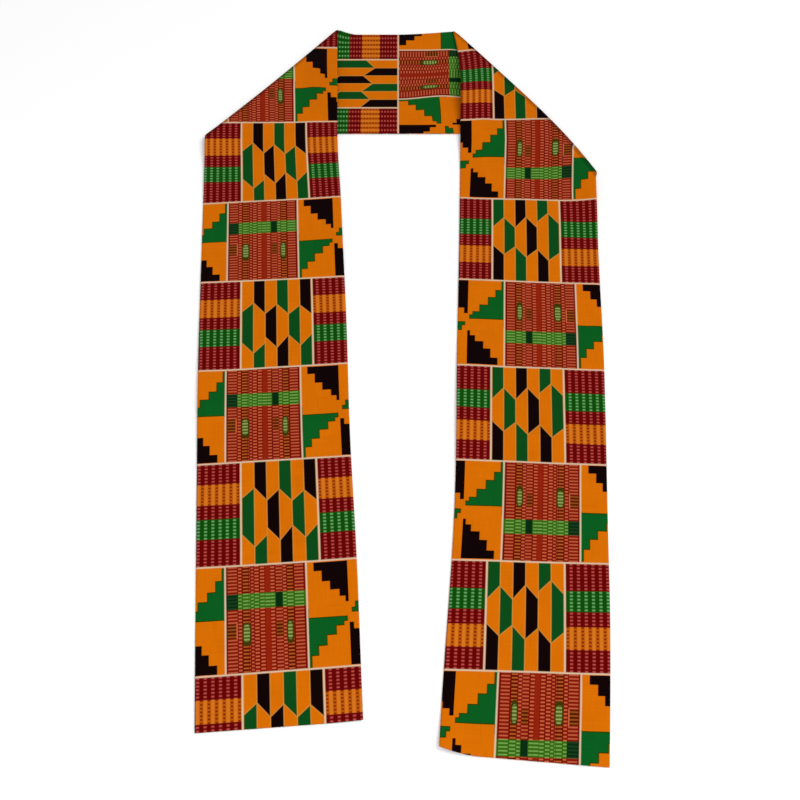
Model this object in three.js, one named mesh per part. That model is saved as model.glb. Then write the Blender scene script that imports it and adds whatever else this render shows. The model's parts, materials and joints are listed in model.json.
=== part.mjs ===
// A kente stole: a long strip of printed cotton, two cloths thick, lying flat on a surface.
// The strip runs up the left panel, turns over at a slanting fold, crosses behind the neck with its back
// uppermost, turns over again at a second fold and runs down the right panel.
// Millimetres, +X right, +Y towards the neck, +Z up. The underside lies on Z = 0.

import * as THREE from "three";

// Driving sizes, in millimetres and degrees
const STRIP_WIDTH = 140;
const CLOTH_THICKNESS = 1.0;
const CLOTH_GAP = 0.3;
const LAYER_GAP = 0.3;

// The neck band lies on the floor between the two folds. Heights in the plan are counted from its lower
// edge.
const BAND_WIDTH = 136.4;
const NECK_HALF_GAP = 64;
const SHORTEST_FADE = 18;
const FADE_POWER = 1.5;
const PEAK_FADE_POWER = 8;

// The panels ramp down to the floor beyond the band's lower edge
const RAMP_LENGTH = 38;
const RAMP_MARGIN = 3;
const ROLL_FADE_LENGTH = 85;

// One row for each panel. side is -1 left, +1 right. centreX is the panel's middle at the neck line, the
// band's lower edge. lean is how far the panel's top tips outward, at the shoulder and at the hem. length
// runs from the neck line to the hem. foldOuter and foldInner are the fold's heights over the neck line at
// the panel's outer and inner edge, foldBulge swells the fold's middle, and foldSkew swells its outer half
// and flattens its inner half. peakFade lengthens the band's rise to the fold's tip. apexPull draws the
// inner edge towards the neck at the fold's tip, and outerEase draws in the outer edge below the fold.
// rollOuter and rollInner are the fold's radius at each end. hemSlant lifts the hem's inner end, and
// cornerRise and cornerTrim lift and round off its inner corner.
const PANELS = [
  {
    side: -1, centreX: 134.1, leanShoulder: 2.4, leanHem: 3.7, length: 626.3,
    foldOuter: -2.2, foldInner: 140, foldBulge: -3, foldSkew: 0, peakFade: 0, apexPull: 2,
    outerEase: 0.8, rollOuter: 2.4, rollInner: 1.4, hemSlant: 1.4, cornerRise: 0.8, cornerTrim: 0.6,
  },
  {
    side: 1, centreX: 132.5, leanShoulder: 1.3, leanHem: 4.2, length: 653.8,
    foldOuter: -53.5, foldInner: 139.2, foldBulge: 4.5, foldSkew: 10.5, peakFade: 40, apexPull: 9,
    outerEase: 2.6, rollOuter: 4.6, rollInner: 1.5, hemSlant: 1.6, cornerRise: 3.5, cornerTrim: 4.8,
  },
];
const APEX_PULL_POWER = 4;
const OUTER_EASE_LENGTH = 260;
const CORNER_LENGTH = 46;
const CORNER_WIDTH = 0.24;

// Low lifts along the panels' edges, where the cloth doesn't lie quite flat. side and edge say which edge
// (edge 0 is the outer one, 1 the inner one), height is the middle's place over the neck line, length how
// much of the edge is lifted, and rise how far.
const EDGE_LIFTS = [
  { side: -1, edge: 1, height: -128, length: 150, rise: 1.5 },
  { side: -1, edge: 0, height: -300, length: 190, rise: 1.8 },
  { side: -1, edge: 1, height: -470, length: 130, rise: 1.2 },
  { side: 1, edge: 0, height: -190, length: 150, rise: 1.6 },
  { side: 1, edge: 1, height: -330, length: 170, rise: 1.7 },
  { side: 1, edge: 0, height: -520, length: 140, rise: 1.4 },
];
const LIFT_WIDTH = 0.3;

// Where an edge wanders off its straight line: side, edge, height and length as above, and reach is how much
// wider the panel is there
const EDGE_SWAYS = [
  { side: -1, edge: 1, height: -15, length: 160, reach: -1.7 },
  { side: -1, edge: 1, height: -230, length: 330, reach: 1.3 },
  { side: -1, edge: 1, height: -480, length: 330, reach: 1.4 },
  { side: -1, edge: 0, height: -280, length: 400, reach: 0.6 },
  { side: 1, edge: 1, height: -430, length: 380, reach: -2.8 },
  { side: 1, edge: 0, height: -185, length: 200, reach: -1.2 },
  { side: 1, edge: 0, height: -560, length: 320, reach: 1.1 },
];

// How finely each stretch of the strip is divided
const ACROSS_STEPS = 8;
const PANEL_LOW_STEPS = 17;
const PANEL_HIGH_STEPS = 24;
const PANEL_HIGH_SHARE = 0.36;
const ROLL_STEPS = 8;
const BAND_STEPS = 14;

const STRIP_THICKNESS = 2 * CLOTH_THICKNESS + CLOTH_GAP;
const HALF_STRIP = STRIP_THICKNESS / 2;
const BAND_LIFT = STRIP_THICKNESS + LAYER_GAP;
const DIFFERENCE_STEP = 1e-3;

const radians = THREE.MathUtils.degToRad;
const clamp01 = (value) => THREE.MathUtils.clamp(value, 0, 1);
const smooth = (value) => THREE.MathUtils.smoothstep(value, 0, 1);
const mix = THREE.MathUtils.lerp;

// A bump of height 1 at the middle of a stretch and 0 at its ends, level at all three
const bump = (distance, halfLength) => smooth(1 - Math.abs(distance) / halfLength);

// The panel's middle line at a height over the neck line, with its outward direction
function panelLine(panel, height) {
  const share = clamp01(-height / panel.length);
  const lean = radians(mix(panel.leanShoulder, panel.leanHem, share));
  const topLean = radians(panel.leanShoulder);
  const meanLean = (topLean + lean) / 2;
  const x = panel.side * (panel.centreX + height * Math.sin(height < 0 ? meanLean : topLean));
  const y = height * Math.cos(height < 0 ? meanLean : topLean);
  return { x, y, outX: panel.side * Math.cos(lean), outY: -Math.sin(lean) };
}

// A point of a panel in the plan. across runs from 0 at the outer edge to 1 at the inner edge.
function panelPlan(panel, height, across) {
  const line = panelLine(panel, height);
  const pull = panel.apexPull * across * clamp01(height / panel.foldInner) ** APEX_PULL_POWER;
  const ease = panel.outerEase * (1 - across) * smooth(1 + height / OUTER_EASE_LENGTH);
  let out = (0.5 - across) * STRIP_WIDTH - pull - ease;
  for (const sway of EDGE_SWAYS) {
    if (sway.side === panel.side) {
      const shift = sway.reach * bump(height - sway.height, sway.length / 2);
      out += shift * (1 - across - sway.edge);
    }
  }
  return { x: line.x + line.outX * out, y: line.y + line.outY * out };
}

// The fold's radius, measured to the middle between the two cloths
const rollRadius = (panel, across) => mix(panel.rollOuter, panel.rollInner, across);

// Height over the neck line where a thread of the panel begins to turn over
function foldHeight(panel, across) {
  const swell = 4 * across * (1 - across) * (panel.foldBulge + panel.foldSkew * (1 - 2 * across));
  const edge = mix(panel.foldOuter, panel.foldInner, across) + swell;
  return edge - (rollRadius(panel, across) + HALF_STRIP) * Math.SQRT2;
}

// The line about which the cloth turns over: its place in the plan, its direction towards the neck and its
// outward direction
function foldAxis(panel, across) {
  const here = panelPlan(panel, foldHeight(panel, across), across);
  const low = Math.max(across - DIFFERENCE_STEP, 0);
  const high = Math.min(across + DIFFERENCE_STEP, 1);
  const before = panelPlan(panel, foldHeight(panel, low), low);
  const after = panelPlan(panel, foldHeight(panel, high), high);
  const along = new THREE.Vector2(after.x - before.x, after.y - before.y).normalize();
  const out = { x: panel.side * along.y, y: -panel.side * along.x };
  return { x: here.x, y: here.y, alongX: along.x, alongY: along.y, outX: out.x, outY: out.y };
}

// A point of the turned-over fold. turn is 0 where the fold meets the panel and 1 where it meets the band. A
// thread crosses the fold at a slant, so it moves towards the neck by the length of the turn.
function rollPoint(panel, turn, across) {
  const axis = foldAxis(panel, across);
  const radius = rollRadius(panel, across);
  const angle = turn * Math.PI;
  const advance = radius * angle;
  const out = radius * Math.sin(angle);
  return new THREE.Vector3(
    axis.x + axis.alongX * advance + axis.outX * out,
    axis.y + axis.alongY * advance + axis.outY * out,
    HALF_STRIP + radius * (1 + Math.cos(angle)),
  );
}

// The height in the plan of the band's thread at x. Threads run level across the neck and bend to meet the
// folds, which hide the bends.
function bandY(x, across) {
  const level = BAND_WIDTH * across;
  let y = level;
  for (const panel of PANELS) {
    const end = rollPoint(panel, 1, across);
    const shortest = SHORTEST_FADE + panel.peakFade * across ** PEAK_FADE_POWER;
    const fade = Math.max(Math.abs(end.x) - NECK_HALF_GAP, shortest);
    const share = clamp01(1 - Math.abs(x - end.x) / fade);
    y += (end.y - level) * share ** FADE_POWER;
  }
  return y;
}

// How far a panel's point is lifted off the floor by what lies under it and by its own small waves
function panelLift(panel, height, across) {
  const place = panelPlan(panel, height, across);
  const overBand = (spot) => smooth((spot.y - bandY(spot.x, 0) + RAMP_LENGTH + RAMP_MARGIN) / RAMP_LENGTH);
  const fold = foldHeight(panel, across);
  const foldPlace = panelPlan(panel, fold, across);
  const extra = 2 * rollRadius(panel, across) - BAND_LIFT * overBand(foldPlace);
  let lift = BAND_LIFT * overBand(place) + extra * smooth(1 - (fold - height) / ROLL_FADE_LENGTH);
  for (const wave of EDGE_LIFTS) {
    if (wave.side === panel.side) {
      const alongShare = bump(height - wave.height, wave.length / 2);
      lift += wave.rise * alongShare * smooth(1 - Math.abs(across - wave.edge) / LIFT_WIDTH);
    }
  }
  const fromHem = height + panel.length;
  const corner = smooth(1 - fromHem / CORNER_LENGTH) * smooth(1 - (1 - across) / CORNER_WIDTH);
  return lift + panel.cornerRise * corner;
}

// Height of a panel's hem for one thread
function hemHeight(panel, across) {
  const corner = clamp01(1 - (1 - across) / CORNER_WIDTH) ** 2;
  return -panel.length + panel.hemSlant * (across - 0.5) + panel.cornerTrim * corner;
}

// The five stretches of the strip. Each gives the point midway between the two cloths for a share of its own
// length, 0 to 1 in the strip's direction, and a place across.
function panelPoint(panel, share, across) {
  const height = mix(hemHeight(panel, across), foldHeight(panel, across), share);
  const place = panelPlan(panel, height, across);
  return new THREE.Vector3(place.x, place.y, HALF_STRIP + panelLift(panel, height, across));
}

function bandPoint(share, across) {
  const start = rollPoint(PANELS[0], 1, across);
  const end = rollPoint(PANELS[1], 1, across);
  const x = mix(start.x, end.x, share);
  return new THREE.Vector3(x, bandY(x, across), HALF_STRIP);
}

const [LEFT, RIGHT] = PANELS;
const STRETCHES = {
  leftPanel: (share, across) => panelPoint(LEFT, share, across),
  leftFold: (share, across) => rollPoint(LEFT, share, across),
  band: bandPoint,
  rightFold: (share, across) => rollPoint(RIGHT, 1 - share, across),
  rightPanel: (share, across) => panelPoint(RIGHT, 1 - share, across),
};

// Shares of a panel's length at which it is divided, from hem to fold, closer together near the fold
function panelShares() {
  const shares = [];
  for (let step = 0; step < PANEL_LOW_STEPS; step += 1) {
    shares.push(((1 - PANEL_HIGH_SHARE) * step) / PANEL_LOW_STEPS);
  }
  for (let step = 0; step <= PANEL_HIGH_STEPS; step += 1) {
    shares.push(1 - PANEL_HIGH_SHARE + (PANEL_HIGH_SHARE * step) / PANEL_HIGH_STEPS);
  }
  return shares;
}

const evenShares = (steps) => Array.from({ length: steps + 1 }, (_, step) => step / steps);

// Every cross-line of the strip from the left hem to the right hem, without the repeats where stretches meet
function stripStations() {
  const panel = panelShares();
  const plans = [
    ["leftPanel", panel],
    ["leftFold", evenShares(ROLL_STEPS).slice(1)],
    ["band", evenShares(BAND_STEPS).slice(1)],
    ["rightFold", evenShares(ROLL_STEPS).slice(1)],
    ["rightPanel", panel.map((share) => 1 - share).reverse().slice(1)],
  ];
  return plans.flatMap(([name, shares]) => shares.map((share) => ({ name, share })));
}

// The point midway between the cloths and the direction that the front cloth faces there
function stripFrame(station, across) {
  const at = STRETCHES[station.name];
  const lowShare = Math.max(station.share - DIFFERENCE_STEP, 0);
  const highShare = Math.min(station.share + DIFFERENCE_STEP, 1);
  const lowAcross = Math.max(across - DIFFERENCE_STEP, 0);
  const highAcross = Math.min(across + DIFFERENCE_STEP, 1);
  const along = at(highShare, across).sub(at(lowShare, across));
  const sideways = at(station.share, highAcross).sub(at(station.share, lowAcross));
  return { middle: at(station.share, across), facing: sideways.cross(along).normalize() };
}

// One cloth of the strip as a closed wall between two offsets from the middle
function clothGeometry(lowOffset, highOffset) {
  const stations = stripStations();
  const columns = ACROSS_STEPS + 1;
  const points = [];
  for (const station of stations) {
    for (let column = 0; column < columns; column += 1) {
      const { middle, facing } = stripFrame(station, column / ACROSS_STEPS);
      points.push(middle.clone().addScaledVector(facing, highOffset));
      points.push(middle.clone().addScaledVector(facing, lowOffset));
    }
  }
  const high = (row, column) => 2 * (row * columns + column);
  const low = (row, column) => high(row, column) + 1;
  const triangles = [];
  const quad = (a, b, c, d) => triangles.push(a, b, c, a, c, d);
  const lastRow = stations.length - 1;
  for (let row = 0; row < lastRow; row += 1) {
    for (let column = 0; column < ACROSS_STEPS; column += 1) {
      quad(high(row, column), high(row, column + 1), high(row + 1, column + 1), high(row + 1, column));
      quad(low(row, column), low(row + 1, column), low(row + 1, column + 1), low(row, column + 1));
    }
    quad(low(row, 0), high(row, 0), high(row + 1, 0), low(row + 1, 0));
    const edge = ACROSS_STEPS;
    quad(high(row, edge), low(row, edge), low(row + 1, edge), high(row + 1, edge));
  }
  for (let column = 0; column < ACROSS_STEPS; column += 1) {
    quad(low(0, column), low(0, column + 1), high(0, column + 1), high(0, column));
    quad(high(lastRow, column), high(lastRow, column + 1), low(lastRow, column + 1), low(lastRow, column));
  }
  const geometry = new THREE.BufferGeometry().setFromPoints(points);
  geometry.setIndex(triangles);
  return geometry;
}

const frontGeometry = clothGeometry(CLOTH_GAP / 2, HALF_STRIP);
const backGeometry = clothGeometry(-HALF_STRIP, -CLOTH_GAP / 2);

// The origin is under the middle of the stole's outline, on the surface that it lies on
const outline = new THREE.Box3();
for (const geometry of [frontGeometry, backGeometry]) {
  geometry.computeBoundingBox();
  outline.union(geometry.boundingBox);
}
const middle = outline.getCenter(new THREE.Vector3());
for (const geometry of [frontGeometry, backGeometry]) {
  geometry.translate(-middle.x, -middle.y, -outline.min.z);
  geometry.computeVertexNormals();
}

const printedCotton = { color: 0xb4560f, roughness: 0.85, metalness: 0 };

const frontCloth = new THREE.Mesh(frontGeometry, new THREE.MeshStandardMaterial(printedCotton));
frontCloth.name = "front_cloth";

const backCloth = new THREE.Mesh(backGeometry, new THREE.MeshStandardMaterial(printedCotton));
backCloth.name = "back_cloth";

const stole = new THREE.Group();
stole.name = "kente_stole";
stole.add(frontCloth, backCloth);

export default stole;
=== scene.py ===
import json
import math
from types import SimpleNamespace

import bpy
import numpy as np
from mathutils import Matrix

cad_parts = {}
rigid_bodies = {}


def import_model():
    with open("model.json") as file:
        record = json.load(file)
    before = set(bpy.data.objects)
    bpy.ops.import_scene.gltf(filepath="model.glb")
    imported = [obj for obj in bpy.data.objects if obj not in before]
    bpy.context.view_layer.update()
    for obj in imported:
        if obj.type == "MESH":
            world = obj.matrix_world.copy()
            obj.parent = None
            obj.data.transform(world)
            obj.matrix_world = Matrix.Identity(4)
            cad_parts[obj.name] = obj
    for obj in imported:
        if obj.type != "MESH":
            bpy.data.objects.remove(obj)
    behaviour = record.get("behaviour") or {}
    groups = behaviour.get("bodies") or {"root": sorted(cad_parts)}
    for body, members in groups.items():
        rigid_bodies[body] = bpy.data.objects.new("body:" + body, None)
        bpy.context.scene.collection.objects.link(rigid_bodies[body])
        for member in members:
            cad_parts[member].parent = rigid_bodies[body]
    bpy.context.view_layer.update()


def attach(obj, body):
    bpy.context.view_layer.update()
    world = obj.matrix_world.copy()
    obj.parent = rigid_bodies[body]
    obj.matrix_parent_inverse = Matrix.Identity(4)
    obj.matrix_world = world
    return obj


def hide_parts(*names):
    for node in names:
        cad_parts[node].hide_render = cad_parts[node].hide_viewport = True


for leftover in list(bpy.data.objects):
    bpy.data.objects.remove(leftover)

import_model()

# A kente stole laid flat: a strip of block-printed cotton, two cloths sewn together all round, that turns
# over at two slanting folds and shows its back at the neck.
# Shapes are counted in millimetres and made in metres. +X right, +Y towards the neck, +Z up.
MM = 0.001

# The strip, with the same sizes as the solids. Heights in the plan count from the neck line, which is the
# band's lower edge.
STRIP_WIDTH = 140.0
CLOTH_THICKNESS = 1.0
CLOTH_GAP = 0.3
LAYER_GAP = 0.3
BAND_WIDTH = 136.4
NECK_HALF_GAP = 64.0
SHORTEST_FADE = 18.0  # the band's threads bend over this length or more to meet a fold
FADE_POWER = 1.5
PEAK_FADE_POWER = 8
RAMP_LENGTH = 38.0  # over which a panel comes down off the band
RAMP_MARGIN = 3.0
ROLL_FADE_LENGTH = 85.0  # over which a fold's height eases down
APEX_PULL_POWER = 4
OUTER_EASE_LENGTH = 260.0
CORNER_LENGTH = 46.0
CORNER_WIDTH = 0.24
LIFT_WIDTH = 0.3
HALF_STRIP = CLOTH_THICKNESS + CLOTH_GAP / 2
BAND_LIFT = 2 * HALF_STRIP + LAYER_GAP
DIFFERENCE_STEP = 1e-3

# The two panels. Leans are in degrees, and fold heights are over the neck line.
LEFT = SimpleNamespace(
    side=-1, centre_x=134.1, lean_shoulder=2.4, lean_hem=3.7, length=626.3,
    fold_outer=-2.2, fold_inner=140, fold_bulge=-3, fold_skew=0, peak_fade=0, apex_pull=2,
    outer_ease=0.8, roll_outer=2.4, roll_inner=1.4, hem_slant=1.4, corner_rise=0.8, corner_trim=0.6,
)
RIGHT = SimpleNamespace(
    side=1, centre_x=132.5, lean_shoulder=1.3, lean_hem=4.2, length=653.8,
    fold_outer=-53.5, fold_inner=139.2, fold_bulge=4.5, fold_skew=10.5, peak_fade=40, apex_pull=9,
    outer_ease=2.6, roll_outer=4.6, roll_inner=1.5, hem_slant=1.6, corner_rise=3.5, corner_trim=4.8,
)


def named_rows(names, rows):
    """A short table as a list of rows with named values."""
    return [SimpleNamespace(**dict(zip(names, row))) for row in rows]


# Low lifts along the panels' edges. Edge 0 is the outer one, 1 the inner one, and height is the middle's.
EDGE_LIFTS = named_rows(("side", "edge", "height", "length", "rise"), [
    (-1, 1, -128, 150, 1.5),
    (-1, 0, -300, 190, 1.8),
    (-1, 1, -470, 130, 1.2),
    (1, 0, -190, 150, 1.6),
    (1, 1, -330, 170, 1.7),
    (1, 0, -520, 140, 1.4),
    (-1, 1, 56, 132, 7.5),
    (1, 1, 56, 132, 8.6),
])

# Where an edge wanders off its straight line, and how much wider the panel is there
EDGE_SWAYS = named_rows(("side", "edge", "height", "length", "reach"), [
    (-1, 1, -15, 160, -1.7),
    (-1, 1, -230, 330, 1.3),
    (-1, 1, -480, 330, 1.4),
    (-1, 0, -280, 400, 0.6),
    (1, 1, -430, 380, -2.8),
    (1, 0, -185, 200, -1.2),
    (1, 0, -560, 320, 1.1),
])

# The seam that joins the cloths all round. The cloth rounds over towards it, a margin over the seam
# allowance stands a little higher, and small puckers cross the margin.
SEAM_ROUND = 1.7
SEAM_GROOVE = 0.05
ALLOWANCE_WIDTH = 9.0
ALLOWANCE_EASE = 2.5
ALLOWANCE_RISE = 0.2
PUCKER_RISE = 0.14
PUCKER_REACH = 7.0
PUCKER_LENGTHS = (7.3, 11.9, 5.1)
PUCKER_PHASES = (1.0, 2.1, 0.7)
HIDDEN_RELIEF = 0.3  # how much of the margin a cloth has where it lies against a layer
NECK_EDGE = 10.0  # length over which the band passes from shown to hidden
FLOOR_CLEARANCE = 0.12
FOLD_SHADE_FADE = 4.0  # length over which the painted shade along a fold fades out beside it

# The front cloth's own low waves, in two trains. A train's place is stretch times the length along the
# strip plus slant times the share across.
LOW_WAVE = 0.4
WAVE_TRAINS = named_rows(("share", "stretch", "slant", "lengths", "phases"), [
    (0.6, 1.0, 90, (134.0, 83.0, 59.0), (0.6, 2.9, 4.4)),
    (0.4, 0.8, -120, (171.0, 101.0), (1.7, 5.2)),
])

# The print, counted in rows along the strip
ROW_HEIGHT = 98.8
FIRST_RIGHT_ROW = 17
HIDDEN_ROWS = 4
PRINT_LINE = ("row", "outer", "inner", "outer_shift", "inner_shift")

# The print on each panel, from the hem up: the row, its place at the outer and at the inner edge in
# millimetres from the hem, and how far the print there is moved towards the inner edge. Whole rows are the
# lines between blocks, and the others are where the cloth is drawn together or apart by the shoulder.
LEFT_LINES = named_rows(PRINT_LINE, [
    (1, 46.3, 48.2, 0.5, 0.8),
    (2, 144.9, 145.2, -0.2, 0.3),
    (3, 245.8, 246.4, 0.3, 0.6),
    (4, 343.7, 344.1, 0.6, -0.1),
    (5, 444.0, 442.7, 0.4, 0.0),
    (6, 539.3, 539.2, -0.3, 0.4),
    (7, 640.3, 635.1, -0.9, -0.8),
    (7.45, 684.8, 679.1, -2.0, -1.8),
    (7.6, 699.8, 695.5, -2.0, -1.6),
    (8, 739.2, 738.0, -2.4, -2.3),
])
RIGHT_LINES = named_rows(PRINT_LINE, [
    (1, 77.5, 71.7, -0.9, -1.6),
    (2, 177.2, 171.9, -0.3, 1.0),
    (3, 274.1, 269.7, -1.5, 0.3),
    (4, 373.7, 369.5, -0.5, -0.4),
    (5, 470.2, 466.9, -1.2, -1.1),
    (6, 570.6, 565.4, -1.5, -1.0),
    (6.42, 611.9, 605.2, -2.5, -2.4),
    (6.75, 643.7, 641.0, -4.1, -3.2),
    (7, 670.0, 666.1, -4.1, -2.9),
    (7.25, 696.7, 691.2, -3.8, -2.7),
    (7.55, 722.6, 714.7, -3.9, -2.8),
    (7.72, 736.8, 731.9, -4.1, -2.9),
    (8, 764.4, 761.3, -4.2, -3.0),
])

# Where the print by a panel's inner edge is drawn towards the hem, over a share of the panel's width
SLIP_WIDTH = 0.22
EDGE_SLIPS = named_rows(("side", "height", "length", "reach"), [
    (-1, 56, 132, 6.6),
    (-1, 84, 70, 4.6),
    (1, 56, 132, 6.4),
    (1, 88, 56, 4.6),
    (1, -14, 110, 3.4),
])

# The back cloth's print on the neck band, drawn a little together both ways from the line that shows
BACK_ROW_AT_LINE = 9.0
BACK_LINE_X = -2.4
LEFT_BACK_ROW = 95.5
RIGHT_BACK_ROW = 93.0
BACK_PRINT_SHIFT = 0.0145

# Where that print is drawn aside: the middle's place in the plan and across the strip, half the reach both
# ways, how far up as a share of the width, and how far to the right in millimetres
BAND_DRIFTS = named_rows(("x", "across", "half_length", "half_across", "up", "right"), [
    (44, 0.36, 44, 0.3, 0.03, 0),
    (60, 0.64, 34, 0.36, 0.018, 0),
    (48, 0.2, 16, 0.24, 0, 2.4),
    (50, 0.0, 26, 0.12, 0.012, 2.4),
    (34, 0.06, 22, 0.16, 0, 1.6),
])


def add_object(name, data):
    made = bpy.data.objects.new(name, data)
    bpy.context.scene.collection.objects.link(made)
    return made


def set_inputs(node, values):
    for name, value in values.items():
        node.inputs[name].default_value = value


def clamp01(value):
    return np.clip(value, 0.0, 1.0)


def smooth(value):
    share = clamp01(value)
    return share * share * (3.0 - 2.0 * share)


def mix(low, high, share):
    return low + (high - low) * share


def bump(distance, half_length):
    """1 at the middle of a stretch and 0 at its ends, level at all three."""
    return smooth(1.0 - np.abs(distance) / half_length)


def either_side(share):
    """The shares one small step below and above a share, kept between 0 and 1."""
    return np.maximum(share - DIFFERENCE_STEP, 0), np.minimum(share + DIFFERENCE_STEP, 1)


def panel_line(panel, height):
    """The panel's middle line at a height over the neck line, with its outward direction."""
    lean = np.radians(mix(panel.lean_shoulder, panel.lean_hem, clamp01(-height / panel.length)))
    top_lean = math.radians(panel.lean_shoulder)
    course = np.where(height < 0, (top_lean + lean) / 2, top_lean)
    x = panel.side * (panel.centre_x + height * np.sin(course))
    return x, height * np.cos(course), panel.side * np.cos(lean), -np.sin(lean)


def panel_plan(panel, height, across):
    """A point of a panel in the plan. across runs from 0 at the outer edge to 1 at the inner edge."""
    x, y, out_x, out_y = panel_line(panel, height)
    pull = panel.apex_pull * across * clamp01(height / panel.fold_inner) ** APEX_PULL_POWER
    ease = panel.outer_ease * (1 - across) * smooth(1 + height / OUTER_EASE_LENGTH)
    out = (0.5 - across) * STRIP_WIDTH - pull - ease
    for sway in EDGE_SWAYS:
        if sway.side == panel.side:
            shift = sway.reach * bump(height - sway.height, sway.length / 2)
            out = out + shift * (1 - across - sway.edge)
    return x + out_x * out, y + out_y * out


def roll_radius(panel, across):
    return mix(panel.roll_outer, panel.roll_inner, across)


def fold_height(panel, across):
    """Height over the neck line where a thread of the panel begins to turn over."""
    swell = 4 * across * (1 - across) * (panel.fold_bulge + panel.fold_skew * (1 - 2 * across))
    edge = mix(panel.fold_outer, panel.fold_inner, across) + swell
    return edge - (roll_radius(panel, across) + HALF_STRIP) * math.sqrt(2)


def roll_point(panel, turn, across):
    """A point of the turned-over fold. turn is 0 at the panel and 1 at the band."""
    x, y = panel_plan(panel, fold_height(panel, across), across)
    low, high = either_side(across)
    low_x, low_y = panel_plan(panel, fold_height(panel, low), low)
    high_x, high_y = panel_plan(panel, fold_height(panel, high), high)
    length = np.hypot(high_x - low_x, high_y - low_y)
    along_x = (high_x - low_x) / length
    along_y = (high_y - low_y) / length
    radius = roll_radius(panel, across)
    angle = turn * math.pi
    advance = radius * angle
    out = radius * np.sin(angle)
    return np.stack([
        x + along_x * advance + panel.side * along_y * out,
        y + along_y * advance - panel.side * along_x * out,
        HALF_STRIP + radius * (1 + np.cos(angle)),
    ], axis=-1)


def band_y(x, across):
    """Height in the plan of the band's thread at x. Threads run level and bend to meet the folds."""
    level = BAND_WIDTH * across
    y = level
    for panel in (LEFT, RIGHT):
        end = roll_point(panel, np.ones_like(across), across)
        shortest = SHORTEST_FADE + panel.peak_fade * across ** PEAK_FADE_POWER
        fade = np.maximum(np.abs(end[..., 0]) - NECK_HALF_GAP, shortest)
        share = clamp01(1 - np.abs(x - end[..., 0]) / fade)
        y = y + (end[..., 1] - level) * share ** FADE_POWER
    return y


def over_band(x, y):
    """1 where a panel lies on the band, running down to 0 past the band's lower edge."""
    return smooth((y - band_y(x, np.zeros_like(x)) + RAMP_LENGTH + RAMP_MARGIN) / RAMP_LENGTH)


def panel_lift(panel, height, across):
    """How far a panel is lifted off the floor by what lies under it and by the lifts along its edges."""
    fold = fold_height(panel, across)
    extra = 2 * roll_radius(panel, across) - BAND_LIFT * over_band(*panel_plan(panel, fold, across))
    lift = BAND_LIFT * over_band(*panel_plan(panel, height, across))
    lift = lift + extra * smooth(1 - (fold - height) / ROLL_FADE_LENGTH)
    for wave in EDGE_LIFTS:
        if wave.side == panel.side:
            along = bump(height - wave.height, wave.length / 2)
            lift = lift + wave.rise * along * smooth(1 - np.abs(across - wave.edge) / LIFT_WIDTH)
    corner = smooth(1 - (height + panel.length) / CORNER_LENGTH) * smooth(1 - (1 - across) / CORNER_WIDTH)
    return lift + panel.corner_rise * corner


def hem_height(panel, across):
    corner = clamp01(1 - (1 - across) / CORNER_WIDTH) ** 2
    return -panel.length + panel.hem_slant * (across - 0.5) + panel.corner_trim * corner


def panel_point(panel, share, across):
    height = mix(hem_height(panel, across), fold_height(panel, across), share)
    x, y = panel_plan(panel, height, across)
    return np.stack([x, y, HALF_STRIP + panel_lift(panel, height, across)], axis=-1)


def band_point(share, across):
    start = roll_point(LEFT, np.ones_like(across), across)
    end = roll_point(RIGHT, np.ones_like(across), across)
    x = mix(start[..., 0], end[..., 0], share)
    return np.stack([x, band_y(x, across), np.full_like(x, HALF_STRIP)], axis=-1)


# The strip's five stretches, in order. Each gives the point midway between the cloths for a share of its
# length and a place across.
STRETCHES = {
    "left_panel": lambda share, across: panel_point(LEFT, share, across),
    "left_fold": lambda share, across: roll_point(LEFT, share, across),
    "band": band_point,
    "right_fold": lambda share, across: roll_point(RIGHT, 1 - share, across),
    "right_panel": lambda share, across: panel_point(RIGHT, 1 - share, across),
}
FOLD_STEPS = 12
BAND_MIDDLE_LENGTH = 330.0

# Distances from a seam, in millimetres, at which its rounding is divided
SEAM_STEPS = [0.0, 0.12, 0.4, 0.8, 1.25]

# Face sizes of the front cloth, the back cloth and the grid that gives the origin
FINE_STEP = 2.0
COARSE_STEP = 3.0
PLAN_STEP = 4.0


def places_across(step):
    """Shares of the strip's width, close together at the two seams."""
    seam = np.array(SEAM_STEPS)
    inner = np.linspace(SEAM_ROUND, STRIP_WIDTH - SEAM_ROUND, round(STRIP_WIDTH / step))
    return np.concatenate([seam, inner, STRIP_WIDTH - seam[::-1]]) / STRIP_WIDTH


def places_along(stretch, step):
    """Shares of a stretch's length, close together at a hem."""
    if stretch == "band":
        return np.linspace(0, 1, round(BAND_MIDDLE_LENGTH / step))
    if stretch in ("left_fold", "right_fold"):
        return np.linspace(0, 1, FOLD_STEPS + 1)
    panel = LEFT if stretch == "left_panel" else RIGHT
    seam = np.array(SEAM_STEPS) / panel.length
    rest = np.linspace(SEAM_ROUND / panel.length, 1.0, round(panel.length / step))
    shares = np.concatenate([seam, rest])
    return shares if panel is LEFT else 1 - shares[::-1]


def surface_frame(stretch, share, across):
    """The point midway between the cloths and the direction that the front cloth faces there."""
    at = STRETCHES[stretch]
    low_share, high_share = either_side(share)
    low_across, high_across = either_side(across)
    along = at(high_share, across) - at(low_share, across)
    sideways = at(share, high_across) - at(share, low_across)
    facing = np.cross(sideways, along)
    return at(share, across), facing / np.linalg.norm(facing, axis=-1, keepdims=True)


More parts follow.
